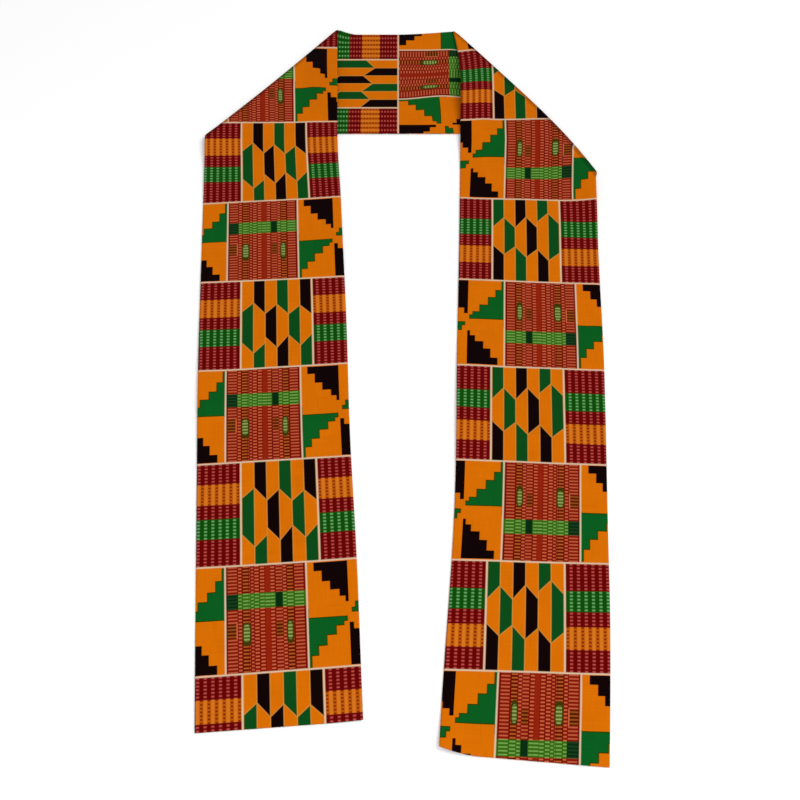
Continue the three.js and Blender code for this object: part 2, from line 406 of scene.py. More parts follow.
def rows_from_hem(panel, lines, length, across):
    """Print rows counted from a panel's hem, and how far the print is moved towards the inner edge."""
    height = length + hem_height(panel, across)
    from_hem = height + panel.length
    for slip in EDGE_SLIPS:
        if slip.side == panel.side:
            share = bump(height - slip.height, slip.length / 2) * smooth(1 - (1 - across) / SLIP_WIDTH)
            from_hem = from_hem + slip.reach * share
    count = [line.row for line in lines]
    rows = np.empty_like(length)
    for column, share in enumerate(across):
        places = [mix(line.outer, line.inner, share) for line in lines]
        places = [places[0] - ROW_HEIGHT, *places, places[-1] + HIDDEN_ROWS * ROW_HEIGHT]
        rows[:, column] = np.interp(from_hem[:, column], places, [0, *count, count[-1] + HIDDEN_ROWS])
    outer = np.interp(rows, count, [line.outer_shift for line in lines])
    inner = np.interp(rows, count, [line.inner_shift for line in lines])
    return rows, mix(outer, inner, across)


def front_print(length, across, starts):
    """Place of the front cloth's print: the share across and the row. Each panel's rows are counted from
    its hem, and behind the neck, where they don't show, one count passes into the other."""
    left_rows, left_shift = rows_from_hem(LEFT, LEFT_LINES, length, across)
    right_rows, right_shift = rows_from_hem(RIGHT, RIGHT_LINES, length[-1] - length, across)
    start, end = length[starts["band"]], length[starts["right_fold"]]
    share = smooth((length - start) / (end - start))
    shift = mix(left_shift, right_shift, share)
    return across - shift / STRIP_WIDTH, mix(left_rows, FIRST_RIGHT_ROW + 1 - right_rows, share)


def back_print(middle, length, across, starts):
    """Place of the back cloth's print. Rows are counted both ways from the line that shows at the neck."""
    band = slice(starts["band"], starts["right_fold"])
    at_line = [
        np.interp(BACK_LINE_X, middle[band, column, 0], length[band, column])
        for column in range(middle.shape[1])
    ]
    place = 1 - across + BACK_PRINT_SHIFT
    past_line = length - np.array(at_line)
    for drift in BAND_DRIFTS:
        share = bump(across - drift.across, drift.half_across)
        share = bump(middle[..., 0] - drift.x, drift.half_length) * share
        place = place + drift.up * share
        past_line = past_line - drift.right * share
    return place, BACK_ROW_AT_LINE + past_line / np.where(past_line < 0, LEFT_BACK_ROW, RIGHT_BACK_ROW)


def build_strip(step):
    """The strip's middle surface as a grid, with a row for each cross-line from the left hem on."""
    across = places_across(step)
    middles, facings, starts, count = [], [], {}, 0
    for name in STRETCHES:
        shares = places_along(name, step)
        if middles:
            shares = shares[1:]
        starts[name] = count
        count += len(shares)
        middle, facing = surface_frame(name, *np.meshgrid(shares, across, indexing="ij"))
        middles.append(middle)
        facings.append(facing)
    middle, facing = np.concatenate(middles), np.concatenate(facings)
    steps = np.linalg.norm(np.diff(middle, axis=0), axis=2)
    length = np.concatenate([np.zeros((1, len(across))), np.cumsum(steps, axis=0)])
    # Painted shade along the folds: darker near a fold and darkest where the cloth turns on its side,
    # standing in for the shade that the light leaves there
    near_fold = np.zeros_like(length)
    for fold, after in (("left_fold", "band"), ("right_fold", "right_panel")):
        away = np.maximum(length[starts[fold] - 1] - length, length - length[starts[after] - 1])
        near_fold = np.maximum(near_fold, smooth(1 - away / FOLD_SHADE_FADE))
    return SimpleNamespace(
        across=across, middle=middle, facing=facing, length=length, starts=starts, rows=len(middle),
        painted_fold_shade=near_fold * (1 - np.abs(facing[..., 2]) / 2),
        front_print=front_print(length, across, starts),
        back_print=back_print(middle, length, across, starts),
    )


def plan_middle():
    """The middle of the whole outline, under which the origin lies."""
    strip = build_strip(PLAN_STEP)
    skins = np.array([strip.middle + strip.facing * offset for offset in (HALF_STRIP, -HALF_STRIP)])
    low, high = skins.min(axis=(0, 1, 2)), skins.max(axis=(0, 1, 2))
    return (low + high) / 2 * [1, 1, 0]


ORIGIN = plan_middle()


def wander(place, wavelengths, phases):
    """A smooth irregular wave of height about 1 along a length."""
    waves = [np.sin(2 * math.pi * place / length + phase) for length, phase in zip(wavelengths, phases)]
    return sum(waves) / math.sqrt(len(waves))


def round_over(distance):
    """0 at a seam and 1 where the cloth lies flat, following a quarter circle."""
    return np.sqrt(1 - (1 - clamp01(distance / SEAM_ROUND)) ** 2)


def margin(distance, along, phase):
    """The extra height over the seam allowance, with small puckers across it."""
    ridge = ALLOWANCE_RISE * smooth((ALLOWANCE_WIDTH + ALLOWANCE_EASE - distance) / ALLOWANCE_EASE)
    pucker = wander(along, PUCKER_LENGTHS, [share * phase for share in PUCKER_PHASES])
    return ridge + PUCKER_RISE * pucker * smooth(1 - distance / PUCKER_REACH) * smooth(distance)


def low_waves(strip, rows):
    """Low waves of the front cloth where it faces up and nothing lies under it."""
    length, across = strip.length[rows], strip.across
    on_floor = 1 - over_band(strip.middle[rows][..., 0], strip.middle[rows][..., 1])
    height = 0
    for train in WAVE_TRAINS:
        place = train.stretch * length + train.slant * across
        height = height + train.share * wander(place, train.lengths, train.phases)
    return LOW_WAVE * height * smooth(on_floor)


PRINT_MAP = "print_place"
BAKE_MAP = "OFBake"
FOLD_SHADE_ATTRIBUTE = "painted_fold_shade"  # how much painted shade a point gets: 1 along a fold's outermost line, about a half beside it, 0 off it

# Where the surfaces lie on the baked map: a rectangle's corner and its size, as shares of the map
PANEL_HALF_SPOTS = [((0.004, 0.007), (0.448, 0.986)), ((0.458, 0.007), (0.448, 0.986))]
NECK_SPOT = ((0.004, 0.007), (0.902, 0.986))
FRONT_INNER_SPOT = ((0.913, 0.007), (0.082, 0.986))
BAND_SPOT = ((0.004, 0.004), (0.992, 0.384))
BACK_QUARTER_SPOTS = [((0.004 + 0.226 * number, 0.397), (0.219, 0.597)) for number in range(4)]
BACK_INNER_SPOT = ((0.911, 0.397), (0.084, 0.597))


def quads(first, last, columns):
    """Corner numbers of a grid's faces between two rows, anticlockwise seen from the front cloth's side."""
    row, column = np.meshgrid(np.arange(first, last), np.arange(columns - 1), indexing="ij")
    corner = (row * columns + column).ravel()
    return np.stack([corner, corner + 1, corner + columns + 1, corner + columns], axis=1)


def rim_loop(rows, columns):
    """Corner numbers once round a grid's edge."""
    bottom = np.arange(columns - 1)
    right = np.arange(rows - 1) * columns + columns - 1
    top = (rows - 1) * columns + np.arange(columns - 1, 0, -1)
    left = np.arange(rows - 1, 0, -1) * columns
    return np.concatenate([bottom, right, top, left])


def cloth_skins(strip, rows, sign):
    """The printed skin and the wrong side of one cloth, in millimetres. sign is 1 for the front cloth."""
    middle, length, across = strip.middle[rows], strip.length[rows], strip.across
    facing = strip.facing[rows] * sign
    from_side = np.broadcast_to(np.minimum(across, 1 - across) * STRIP_WIDTH, length.shape)
    from_hem = np.minimum(strip.length, strip.length[-1] - strip.length)[rows]
    flatness = round_over(from_side) * round_over(from_hem)
    relief = np.where(from_side < from_hem, margin(from_side, length, 1.0 + sign),
                      margin(from_hem, across * STRIP_WIDTH, 2.0 + sign))
    shown = smooth(facing[..., 2])
    if sign < 0:
        shown = shown * smooth((NECK_HALF_GAP - np.abs(middle[..., 0])) / NECK_EDGE)
    relief = relief * mix(HIDDEN_RELIEF, 1, shown)
    if sign > 0:
        relief = relief + low_waves(strip, rows) * shown
    outer = SEAM_GROOVE + (HALF_STRIP - SEAM_GROOVE + relief) * flatness
    inner = SEAM_GROOVE / 2 + (CLOTH_GAP / 2 - SEAM_GROOVE / 2) * flatness
    return [middle + facing * height[..., None] for height in (outer, inner)]


def island(first, last, spot, turned=False):
    """A run of rows and the rectangle of the baked map that it fills. turned lays the strip's length along
    the rectangle's first side."""
    return SimpleNamespace(first=first, last=last, spot=spot, turned=turned)


def island_places(part, across, row_length, first):
    low, high = row_length[part.first - first], row_length[part.last - first]
    along, across = np.meshgrid((row_length - low) / (high - low), across, indexing="ij")
    place = np.stack([along, across] if part.turned else [across, along], axis=-1)
    corner, size = np.array(part.spot)
    return (corner + place * size).reshape(-1, 2)


def cloth_piece(name, strip, first, last, sign, materials, islands, inner_island):
    """One cloth of the strip between two cross-lines, as a closed wall."""
    rows = slice(first, last + 1)
    columns = len(strip.across)
    count = last - first + 1
    half = count * columns
    points = np.concatenate([skin.reshape(-1, 3) for skin in cloth_skins(strip, rows, sign)])
    points = points - ORIGIN + [0, 0, FLOOR_CLEARANCE]

    printed = strip.front_print if sign > 0 else strip.back_print
    print_place = np.stack(printed, axis=-1)[rows].reshape(-1, 2)

    faces, looks, print_uv, bake_uv = [], [], [], []

    def add(corners, look, place):
        corners = corners if sign > 0 else corners[:, ::-1]
        faces.append(corners)
        looks.append(np.full(len(corners), look))
        print_uv.append(print_place[corners % half])
        bake_uv.append(place[corners % half])

    row_length = strip.length[rows].mean(axis=1)
    for part in islands:
        add(quads(part.first - first, part.last - first, columns), 0,
            island_places(part, strip.across, row_length, first))
    inner_place = island_places(inner_island, strip.across, row_length, first)
    add(quads(0, count - 1, columns)[:, ::-1] + half, 1, inner_place)
    here = rim_loop(count, columns)
    after = np.roll(here, -1)
    add(np.stack([after, here, here + half, after + half], axis=1), 1, inner_place)

    mesh = bpy.data.meshes.new(name)
    mesh.from_pydata((points * MM).tolist(), [], np.concatenate(faces).tolist())
    for material in materials:
        mesh.materials.append(material)
    mesh.polygons.foreach_set("material_index", np.concatenate(looks).astype(np.int32))
    mesh.shade_smooth()
    for map_name, places in ((PRINT_MAP, print_uv), (BAKE_MAP, bake_uv)):
        layer = mesh.uv_layers.new(name=map_name)
        layer.data.foreach_set("uv", np.concatenate(places).astype(np.float32).ravel())
    # The painted shade along the folds goes with the points, for the material to darken the colour there
    painted_fold_shade = np.tile(strip.painted_fold_shade[rows].ravel(), 2).astype(np.float32)
    mesh.attributes.new(FOLD_SHADE_ATTRIBUTE, "FLOAT", "POINT").data.foreach_set("value", painted_fold_shade)
    return add_object(name, mesh)


def panel_islands(first, last, spots):
    """A panel's two halves, side by side."""
    middle_row = (first + last) // 2
    return [island(first, middle_row, spots[0]), island(middle_row, last, spots[1])]


def back_islands(strip):
    """The band along the foot of the map, and the panels' halves in four columns above it."""
    band_first, band_last = strip.starts["band"], strip.starts["right_fold"]
    return [
        island(band_first, band_last, BAND_SPOT, turned=True),
        *panel_islands(0, band_first, BACK_QUARTER_SPOTS[:2]),
        *panel_islands(band_last, strip.rows - 1, BACK_QUARTER_SPOTS[2:]),
    ]


def srgb(red, green, blue):
    """A colour given by its display values from 0 to 255, as a linear colour."""
    def linear(value):
        share = value / 255
        return share / 12.92 if share <= 0.04045 else ((share + 0.055) / 1.055) ** 2.4
    return (linear(red), linear(green), linear(blue), 1.0)


# Inks. A dash is printed on its own ground.
ORANGE = srgb(217, 110, 0)
PALE_ORANGE = srgb(214, 146, 66)
STAVE_GREEN = srgb(9, 74, 24)
STAIR_GREEN = srgb(7, 91, 30)
STAIR_RIM_GREEN = srgb(30, 58, 0)
BLACK = srgb(14, 1, 2)
LINE = srgb(220, 190, 160)

BAR_RED = srgb(101, 0, 0)
LANE_RED = srgb(112, 12, 10)
DASH_RED = srgb(184, 76, 68)
LANE_ORANGE = srgb(214, 117, 30)
GAP_ORANGE = srgb(188, 87, 2)
DASH_BROWN = srgb(118, 38, 0)
BAR_GREEN = srgb(10, 76, 6)
LANE_GREEN = srgb(32, 94, 28)
DASH_GREEN = srgb(106, 166, 100)

WOVEN_RED = srgb(114, 6, 0)
WOVEN_GAP = srgb(130, 19, 2)
WOVEN_DASH = srgb(188, 90, 57)
WOVEN_BRIGHT = srgb(200, 98, 62)
WOVEN_PLAIN = srgb(145, 33, 9)
OLIVE_DARK = srgb(88, 14, 0)
OLIVE = srgb(184, 90, 34)
CROSS_GREEN = srgb(50, 101, 14)
CROSS_DASH = srgb(114, 162, 76)
CROSS_DARK = srgb(4, 44, 16)
CROSS_DARK_DASH = srgb(26, 62, 30)
LOZENGE_RIM = srgb(62, 54, 4)
LOZENGE_GREEN = srgb(80, 96, 28)
LOZENGE_DASH = srgb(148, 166, 92)
PATCH_DARK = srgb(80, 24, 2)
PATCH_DASH = srgb(154, 78, 22)
WRONG_SIDE = srgb(172, 96, 34)

INK_SPREAD = 0.8  # width over which one ink meets the next
SHARE_SPREAD = INK_SPREAD / STRIP_WIDTH
ROW_SPREAD = INK_SPREAD / ROW_HEIGHT
LINE_WIDTH = 1.5  # the pale lines between the blocks
STAIR_RIM = 0.9  # the darker rim inside the green stairs
DASHES_PER_ROW = 31
DASH_SPREAD = 0.16  # a dash's soft end, as a share of one beat

# Places of the pale lines across the strip, in the rows of stripes and in the rows of stairs
STRIPE_ROW_LINES = (0.2811, 0.7700)
STAIR_ROW_LINES = (0.1822, 0.6818)


class Pen:
    """Adds nodes to a tree, each from the ones before, and hands back their outputs."""

    def __init__(self, tree):
        self.tree = tree

    def node(self, kind, **settings):
        made = self.tree.nodes.new(kind)
        for name, value in settings.items():
            setattr(made, name, value)
        return made

    def feed(self, socket, value):
        if isinstance(value, bpy.types.NodeSocket):
            self.tree.links.new(value, socket)
        else:
            socket.default_value = value

    def math(self, operation, *values, clamp=False):
        made = self.node("ShaderNodeMath", operation=operation, use_clamp=clamp)
        for socket, value in zip(made.inputs, values):
            self.feed(socket, value)
        return made.outputs[0]

    def step(self, value, edge, width):
        """0 below an edge and 1 above it, over a short width."""
        if isinstance(edge, bpy.types.NodeSocket):
            value = self.math("SUBTRACT", value, edge)
            edge = 0.0
        made = self.node("ShaderNodeMapRange", clamp=True)
        self.feed(made.inputs["Value"], value)
        set_inputs(made, {"From Min": edge - width / 2, "From Max": edge + width / 2})
        return made.outputs["Result"]

    def below(self, value, edge, width):
        return self.opposite(self.step(value, edge, width))

    def between(self, value, low, high, width):
        above_low = self.step(value, low, width)
        above_high = self.step(value, high, width)
        return self.math("SUBTRACT", above_low, above_high, clamp=True)

    def times(self, *values):
        product = values[0]
        for value in values[1:]:
            product = self.math("MULTIPLY", product, value)
        return product

    def opposite(self, value):
        return self.math("SUBTRACT", 1.0, value)

    def scaled(self, value, factor, shift, clamp=False):
        return self.math("MULTIPLY_ADD", value, factor, shift, clamp=clamp)

    def apart(self, value, other):
        return self.math("ABSOLUTE", self.math("SUBTRACT", value, other))

    def ramp(self, value, stops, interpolation="CONSTANT"):
        """A colour ramp. A stop is (position, colour), and a number stands for a grey."""
        made = self.node("ShaderNodeValToRGB")
        ramp = made.color_ramp
        ramp.interpolation = interpolation
        while len(ramp.elements) < len(stops):
            ramp.elements.new(1.0)
        for element, (position, colour) in zip(ramp.elements, stops):
            element.position = position
            element.color = colour if isinstance(colour, tuple) else (colour, colour, colour, 1.0)
        self.feed(made.inputs["Fac"], value)
        return made.outputs["Color"]

    def bars(self, value, edges, colours):
        """Plain bars of colour. An edge is where the next colour starts."""
        return self.ramp(value, list(zip([0.0] + edges, colours)))

    def mix(self, share, below, above, blend="MIX"):
        made = self.node("ShaderNodeMix", data_type="RGBA", blend_type=blend)
        low, high = [socket for socket in made.inputs if socket.type == "RGBA"]
        self.feed(made.inputs["Factor"], share)
        self.feed(low, below)
        self.feed(high, above)
        return [socket for socket in made.outputs if socket.type == "RGBA"][0]


def dashes(pen, down, duty, shift=0.0):
    """Short marks with soft ends that repeat down a row. duty is the inked share."""
    place = pen.scaled(down, DASHES_PER_ROW, shift)
    off_beat = pen.apart(pen.math("FRACT", place), 0.5)
    return pen.below(off_beat, duty / 2, DASH_SPREAD)


def place_between(pen, across, first_edge, last_edge):
    """0 at a block's first edge and 1 at its last one."""
    width = last_edge - first_edge
    return pen.scaled(across, 1 / width, -first_edge / width, clamp=True)


def striped_block(pen, across, down):
    """Cross bars of red, orange and green with dashed lanes running along the strip."""
    lane_pitch = 6.35
    first_lane = 2.0
    inner_jump = 111.1

    # A lane's half width and the start of the stretch between lanes, as shares of the pitch
    lane_half, lane_spread = 0.2, 0.14
    wider_in_orange = 0.02
    gap_start, gap_spread = 0.34, 0.08
    edges = [0.205, 0.41, 0.545, 0.735]
    ground = pen.bars(down, edges, [BAR_RED, GAP_ORANGE, BAR_RED, BAR_GREEN, BAR_RED])
    lane = pen.bars(down, edges, [LANE_RED, LANE_ORANGE, LANE_RED, LANE_GREEN, LANE_RED])
    dash = pen.bars(down, edges, [DASH_RED, LANE_ORANGE, DASH_RED, DASH_GREEN, DASH_RED])
    inner = pen.math("GREATER_THAN", across, 0.5)
    place = pen.scaled(across, STRIP_WIDTH, -first_lane)
    place = pen.scaled(inner, -inner_jump, place)
    phase = pen.math("FRACT", pen.scaled(place, 1 / lane_pitch, 0.5))
    off_lane = pen.apart(phase, 0.5)
    beat = dashes(pen, down, duty=0.45)
    in_orange = pen.between(down, *edges[:2], ROW_SPREAD)
    lane_edge = pen.scaled(in_orange, wider_in_orange, lane_half)
    colour = pen.mix(pen.below(off_lane, lane_edge, lane_spread), ground, lane)
    colour = pen.mix(pen.times(pen.below(off_lane, lane_half, lane_spread), beat), colour, dash)
    between_lanes = pen.step(off_lane, gap_start, gap_spread)
    return pen.mix(pen.times(between_lanes, beat, in_orange), colour, DASH_BROWN)


def staved_block(pen, across, down):
    """Six staves whose colours change at slanting cuts."""
    first_edge, last_edge = 0.2872, 0.7646
    place = place_between(pen, across, first_edge, last_edge)
    sixths = [n / 6 for n in range(7)]
    first_heights = [0.358, 0.259, 0.391, 0.285, 0.409, 0.310, 0.422]
    first_cut = pen.ramp(place, list(zip(sixths, first_heights)), "LINEAR")
    second_cut = pen.ramp(place, [
        (0.0, 0.707), (sixths[1], 0.833), (sixths[2] - 0.001, 0.721), (sixths[2] + 0.001, 0.655),
        (sixths[3], 0.782), (sixths[4], 0.645), (sixths[5], 0.770), (1.0, 0.643),
    ], "LINEAR")
    orange, green, black = ORANGE, STAVE_GREEN, BLACK
    top = pen.bars(place, sixths[1:6], [orange, black, orange, green, orange, black])
    middle = pen.bars(place, sixths[1:6], [green, orange, black, orange, green, orange])
    low = pen.bars(place, sixths[1:6], [orange, green, orange, black, orange, green])
    colour = pen.mix(pen.step(down, first_cut, ROW_SPREAD), top, middle)
    colour = pen.mix(pen.step(down, second_cut, ROW_SPREAD), colour, low)

    # A thin paler outline round each shape
    outline = 0.3
    slant = 0.75
    phase = pen.math("FRACT", pen.times(place, 6.0))
    to_side = pen.math("SUBTRACT", 0.5, pen.apart(phase, 0.5))
    to_side = pen.times(to_side, (last_edge - first_edge) * STRIP_WIDTH / 6)
    to_cut = pen.math("MINIMUM", pen.apart(down, first_cut), pen.apart(down, second_cut))
    to_cut = pen.times(to_cut, ROW_HEIGHT * slant)
    nearest = pen.math("MINIMUM", to_side, to_cut)
    return pen.mix(pen.step(nearest, outline, INK_SPREAD), PALE_ORANGE, colour)


def stair_block(pen, across, down):
    """Four stepped corners round a middle, black and green on orange. The block is wider than what shows of
    it at either side of the strip."""
    place_scale, outer_place, inner_jump = 2.0, 0.652, 2.032
    inner_start = 0.43
    inner = pen.math("GREATER_THAN", across, inner_start)
    place = pen.scaled(across, place_scale, outer_place)
    place = pen.scaled(inner, -inner_jump, place)
    spread = place_scale * SHARE_SPREAD
    middle = 0.494
    upper_end, right_end = 0.44, 0.525
    clear = 0.008

    # Each stair's edge as (down, place). A place of 0 or 1 leaves a stretch plain.
    left_stops = [
        (0.0, 1.0), (0.015, 0.075), (0.095, 0.172), (0.196, 0.270), (0.28, 0.384), (0.346, 0.455),
        (0.40, 1.0), (upper_end, 0.0), (0.532, 0.474), (0.585, 0.43), (0.622, 0.335), (0.705, 0.218),
        (0.797, 0.113), (0.884, 0.028),
    ]
    right_stops = [
        (0.0, 1.0), (0.015, 0.973), (0.13, 0.893), (0.234, 0.792), (0.32, 0.676), (0.40, 0.568),
        (0.457, 0.525), (0.502, 1.0), (right_end, 0.0), (0.597, 0.547), (0.658, 0.63), (0.722, 0.73),
        (0.808, 0.815), (0.906, 0.915), (0.985, 0.0),
    ]
    past_left = pen.step(place, pen.ramp(down, left_stops), spread)
    past_right = pen.step(place, pen.ramp(down, right_stops), spread)

    def drawn_in(stops, choice, shift):
        """A stair's edge drawn in by the width of the darker rim, along the strip and across it."""
        above = pen.ramp(pen.math("SUBTRACT", down, STAIR_RIM / ROW_HEIGHT), stops)
        below = pen.ramp(pen.math("ADD", down, STAIR_RIM / ROW_HEIGHT), stops)
        return pen.math("ADD", pen.math(choice, above, below), place_scale * shift / STRIP_WIDTH)

    past_left_rim = pen.step(place, drawn_in(left_stops, "MINIMUM", -STAIR_RIM), spread)
    past_right_rim = pen.step(place, drawn_in(right_stops, "MAXIMUM", STAIR_RIM), spread)
    upper_left = pen.math("LESS_THAN", down, upper_end - clear)
    lower_left = pen.math("GREATER_THAN", down, upper_end + clear)
    upper_right = pen.math("LESS_THAN", down, right_end - clear)
    lower_right = pen.math("GREATER_THAN", down, right_end + clear)
    black_left = pen.times(upper_left, past_left, pen.math("LESS_THAN", place, middle))
    green_left = pen.times(lower_left, pen.opposite(past_left))
    green_right = pen.times(upper_right, past_right)
    black_right = pen.times(lower_right, pen.opposite(past_right), pen.math("GREATER_THAN", place, middle))
    core_left = pen.times(lower_left, pen.opposite(past_left_rim))
    core_right = pen.times(upper_right, past_right_rim)
    colour = pen.mix(pen.math("MAXIMUM", green_left, green_right), ORANGE, STAIR_RIM_GREEN)
    colour = pen.mix(pen.math("MAXIMUM", core_left, core_right), colour, STAIR_GREEN)
    return pen.mix(pen.math("MAXIMUM", black_left, black_right), colour, BLACK)


def woven_block(pen, across, down):
    """Narrow columns of dashes, crossed by a green bar and set with two green lozenges."""
    place = place_between(pen, across, first_edge=0.19, last_edge=0.675)
    ground, dash, in_column = [(0.0, WOVEN_RED)], [(0.0, WOVEN_RED)], [(0.0, 0.0)]
    dull, bright = (WOVEN_DASH, WOVEN_GAP), (WOVEN_BRIGHT, WOVEN_GAP)
    olive, plain = (OLIVE, OLIVE_DARK), (WOVEN_PLAIN, WOVEN_PLAIN)
    for start, end, (dash_ink, gap_ink) in (
        (0.012, 0.134, dull), (0.148, 0.189, bright), (0.207, 0.276, olive), (0.283, 0.294, dull),
        (0.308, 0.340, dull), (0.353, 0.410, bright), (0.422, 0.480, bright), (0.488, 0.551, plain),
        (0.557, 0.606, bright), (0.624, 0.706, dull), (0.714, 0.755, bright), (0.768, 0.842, olive),
        (0.861, 0.975, dull),
    ):
        ground += [(start, gap_ink), (end, WOVEN_RED)]
        dash += [(start, dash_ink), (end, WOVEN_RED)]
        in_column += [(start, 1.0), (end, 0.0)]
    # Neighbouring columns are part of a dash apart
    shift = pen.bars(place, [0.145, 0.2, 0.295, 0.345, 0.416, 0.484, 0.62, 0.71, 0.76, 0.85],
                     [0.0, 0.5, 0.0, 0.5, 0.1, 0.6, 0.5, 0.1, 0.6, 0.2, 0.7])
    beat = dashes(pen, down, duty=0.42, shift=shift)
    colour = pen.mix(beat, pen.ramp(place, ground), pen.ramp(place, dash))

    # The bar, darker in the first wide column and in a middle one
    bar_edges = [0.144, 0.620, 0.705]
    bar_ground = pen.bars(place, bar_edges, [CROSS_DARK, CROSS_GREEN, CROSS_DARK, CROSS_GREEN])
    bar_dash = pen.bars(place, bar_edges, [CROSS_DARK_DASH, CROSS_DASH, CROSS_DARK, CROSS_DASH])
    in_bar = pen.between(down, 0.27, 0.414, ROW_SPREAD)
    bar_beat = pen.times(beat, pen.ramp(place, in_column))
    colour = pen.mix(in_bar, colour, pen.mix(bar_beat, bar_ground, bar_dash))

    # Two dark patches in line with the lozenges, and a pale line down the inner side of the first
    def inside(start, end, top, foot):
        along = pen.between(down, top, foot, ROW_SPREAD)
        return pen.times(pen.between(place, start, end, SHARE_SPREAD), along)

    top, foot = 0.547, 0.677
    in_patch = pen.math("MAXIMUM", inside(0.012, 0.122, top, foot), inside(0.629, 0.702, top, foot))
    colour = pen.mix(in_patch, colour, pen.mix(beat, PATCH_DARK, PATCH_DASH))
    colour = pen.mix(inside(0.122, 0.138, 0.54, 0.684), colour, WOVEN_BRIGHT)

    # The lozenges: long, with rounded ends and a lighter core. The second is the narrower one.
    centres = (0.2508, 0.796)

    def off_centre(value, centre, half):
        return pen.math("ABSOLUTE", pen.scaled(value, 1 / half, -centre / half))

    def past_edge(half_widths, height, half_height, powers, spread):
        """0 inside both lozenges and 1 outside them."""
        sides = [off_centre(place, centre, half) for centre, half in zip(centres, half_widths)]
        side = pen.math("POWER", pen.math("MINIMUM", *sides), powers[0])
        rise = pen.math("POWER", off_centre(down, height, half_height), powers[1])
        return pen.step(pen.math("ADD", side, rise), 1.0, spread)

    past_rim = past_edge((0.056, 0.046), height=0.6455, half_height=0.1085, powers=(2.5, 4.0), spread=0.4)
    past_core = past_edge((0.038, 0.028), height=0.636, half_height=0.08, powers=(3.0, 5.0), spread=0.5)
    colour = pen.mix(past_rim, LOZENGE_RIM, colour)
    return pen.mix(past_core, pen.mix(beat, LOZENGE_GREEN, LOZENGE_DASH), colour)


def kente_chart():
    """The block print as a node group: place on the strip in, colour out. Rows of striped and staved blocks
    take turns with rows of stairs round a woven block."""
    group = bpy.data.node_groups.new("kente_chart", "ShaderNodeTree")
    for name in ("Across", "Row"):
        group.interface.new_socket(name, in_out="INPUT", socket_type="NodeSocketFloat")
    group.interface.new_socket("Colour", in_out="OUTPUT", socket_type="NodeSocketColor")
    pen = Pen(group)
    entry = pen.node("NodeGroupInput")
    across, row = entry.outputs["Across"], entry.outputs["Row"]
    down = pen.opposite(pen.math("FRACT", row))
    stair_row = pen.math("MODULO", pen.math("FLOOR", row), 2.0)

    def inside(lines):
        past_outer = pen.math("GREATER_THAN", across, lines[0])
        return pen.times(past_outer, pen.math("LESS_THAN", across, lines[1]))

    first_kind = pen.mix(inside(STRIPE_ROW_LINES), striped_block(pen, across, down),
                         staved_block(pen, across, down))
    second_kind = pen.mix(inside(STAIR_ROW_LINES), stair_block(pen, across, down),
                          woven_block(pen, across, down))
    colour = pen.mix(stair_row, first_kind, second_kind)

    def to_line(stripe_line, stair_line):
        return pen.apart(across, pen.scaled(stair_row, stair_line - stripe_line, stripe_line))

    to_lines = [to_line(*lines) for lines in zip(STRIPE_ROW_LINES, STAIR_ROW_LINES)]
    to_side = pen.times(pen.math("MINIMUM", *to_lines), STRIP_WIDTH)
    to_row = pen.math("SUBTRACT", 0.5, pen.apart(down, 0.5))
    nearest = pen.math("MINIMUM", to_side, pen.times(to_row, ROW_HEIGHT))
    colour = pen.mix(pen.step(nearest, LINE_WIDTH / 2, INK_SPREAD), LINE, colour)
    group.links.new(colour, pen.node("NodeGroupOutput").inputs["Colour"])
    return group


def cotton_shader(material):
    """The Principled shader of a matt cotton."""
    material.use_nodes = True
    tree = material.node_tree
    tree.nodes.clear()
    pen = Pen(tree)
    shader = pen.node("ShaderNodeBsdfPrincipled")
    set_inputs(shader, {"Specular IOR Level": 0.02, "Sheen Weight": 0.02, "Sheen Roughness": 0.5})
    output = pen.node("ShaderNodeOutputMaterial")
    tree.links.new(shader.outputs["BSDF"], output.inputs["Surface"])
    return pen, shader


def noise(pen, place, grain, detail, offset):
    """Noise over the strip. place is (across, along) in millimetres, grain its size both ways."""
    vector = pen.node("ShaderNodeCombineXYZ")
    for socket, coordinate, size in zip(vector.inputs, place, grain):
        pen.feed(socket, pen.times(coordinate, 1 / size))
    vector.inputs[2].default_value = offset
    made = pen.node("ShaderNodeTexNoise", noise_dimensions="3D")
    pen.feed(made.inputs["Vector"], vector.outputs[0])
    set_inputs(made, {"Scale": 1.0, "Detail": detail})
    return made.outputs["Fac"]


THREAD_PITCH = 0.6
SLUB_WIDTH = 0.7
SLUB_LENGTH = 26.0
BLOTCH_SIZE = (20.0, 28.0)

# The ink's brightness without slubs and blotches, how strongly these vary it, and the depth of the painted
# shade on a fold
INK_LEVEL = 0.693
SLUB_SHADE = 0.15
BLOTCH_SHADE = 0.14
FOLD_SHADE_DEPTH = 0.75


